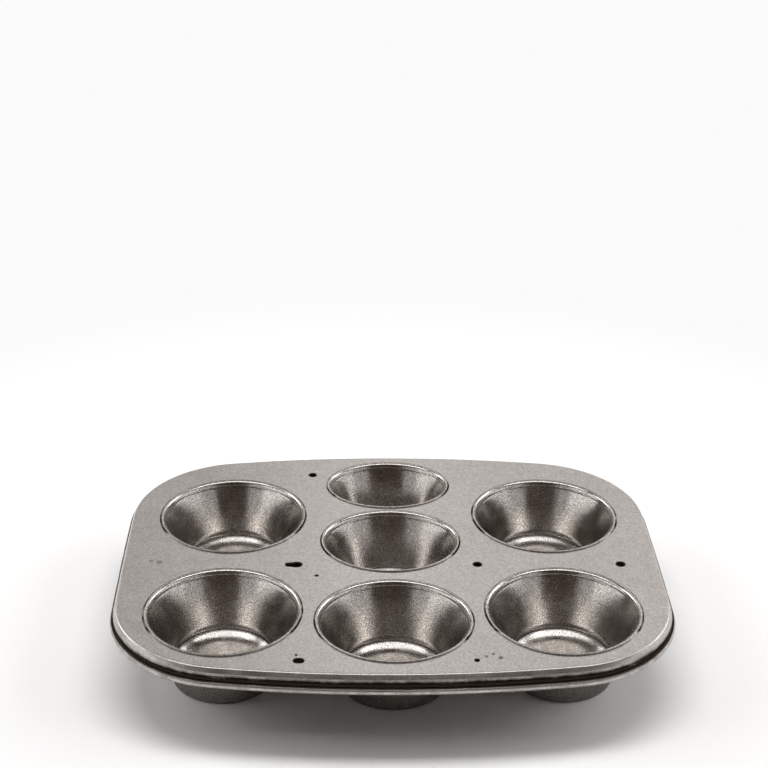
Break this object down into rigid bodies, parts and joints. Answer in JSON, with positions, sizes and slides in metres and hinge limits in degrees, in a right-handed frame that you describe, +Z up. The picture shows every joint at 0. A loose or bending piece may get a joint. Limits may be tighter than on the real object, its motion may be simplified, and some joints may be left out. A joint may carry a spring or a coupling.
{
  "type": "muffin pan",
  "caption": "Tinned steel muffin pan: tapered round and oval cups crimped into a bowed, round-cornered frame with a wired edge.",
  "frame": {"origin": "on the table, under the middle of the frame's outline", "axes": "+X to the right along the long side, +Y to the back, where the smallest oval cup is, +Z up out of the cups"},
  "size_m": [0.2682, 0.2122, 0.036],
  "materials": {
    "frame_tin": "satin tinned sheet, lightly mottled and scuffed",
    "cup_tin": "satin tinned sheet with a fine frosted grain",
    "wire_steel": "plain drawn wire"
  },
  "bodies": {
    "root": {"frame": "frame_tin", "rim_wire": "wire_steel", "cup_front_left": "cup_tin", "cup_back_left": "cup_tin", "cup_front_right": "cup_tin", "cup_back_right": "cup_tin", "cup_front_middle": "cup_tin", "cup_centre_middle": "cup_tin", "cup_back_middle": "cup_tin"}
  },
  "joints": []
}
